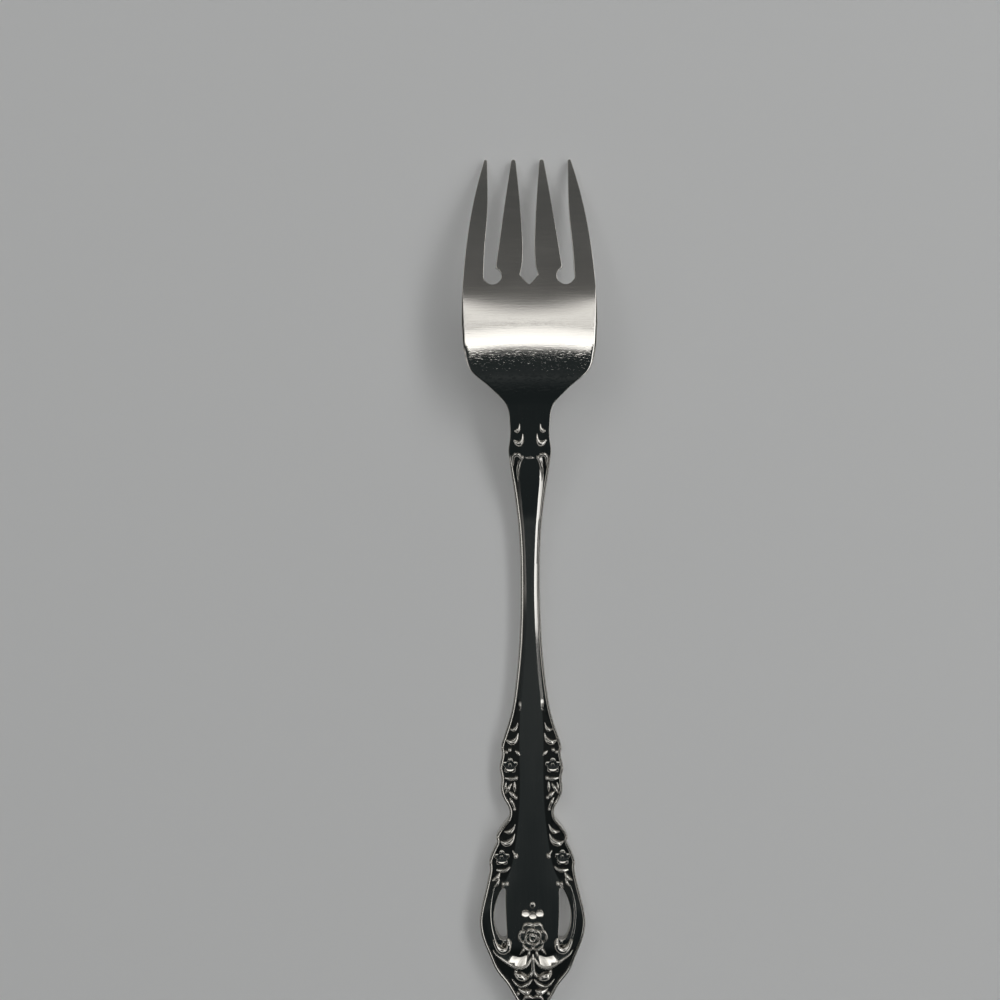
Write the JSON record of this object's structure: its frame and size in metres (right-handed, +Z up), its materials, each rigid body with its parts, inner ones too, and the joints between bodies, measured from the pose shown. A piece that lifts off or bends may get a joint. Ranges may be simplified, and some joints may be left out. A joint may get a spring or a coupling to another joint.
{
  "type": "salad fork",
  "caption": "Stainless salad fork with tapered tines, a broad arched head, a slim stem and a pierced handle with raised flowers and scrolls, for lifting food at the table.",
  "frame": {"origin": "on the table, under the middle of the fork's box", "axes": "+X across the fork, +Y from the handle end to the tine tips, +Z up out of the fork's back as it lies face down"},
  "size_m": [0.0244, 0.159, 0.0094],
  "materials": {
    "polished_steel": "mirror polished stainless steel, darker in the struck recesses",
    "satin_steel": "softly polished stainless steel with faint lengthwise polishing lines"
  },
  "bodies": {
    "root": {"outer_tine_left": "satin_steel", "inner_tine_left": "satin_steel", "inner_tine_right": "satin_steel", "outer_tine_right": "satin_steel", "head": "polished_steel", "neck": "polished_steel", "shank": "polished_steel", "handle_panel": "polished_steel", "left_shoulder": "polished_steel", "right_shoulder": "polished_steel", "left_rail": "polished_steel", "right_rail": "polished_steel", "handle_tip": "polished_steel", "left_rim": "polished_steel", "right_rim": "polished_steel", "neck_scrolls": "polished_steel", "shoulder_husks": "polished_steel", "upper_rosettes": "polished_steel", "shoulder_leaves": "polished_steel", "lower_rosettes": "polished_steel", "rail_ribs": "polished_steel", "rail_volutes": "polished_steel", "rose": "polished_steel", "rose_bud": "polished_steel", "tip_lobes": "polished_steel"}
  },
  "joints": []
}
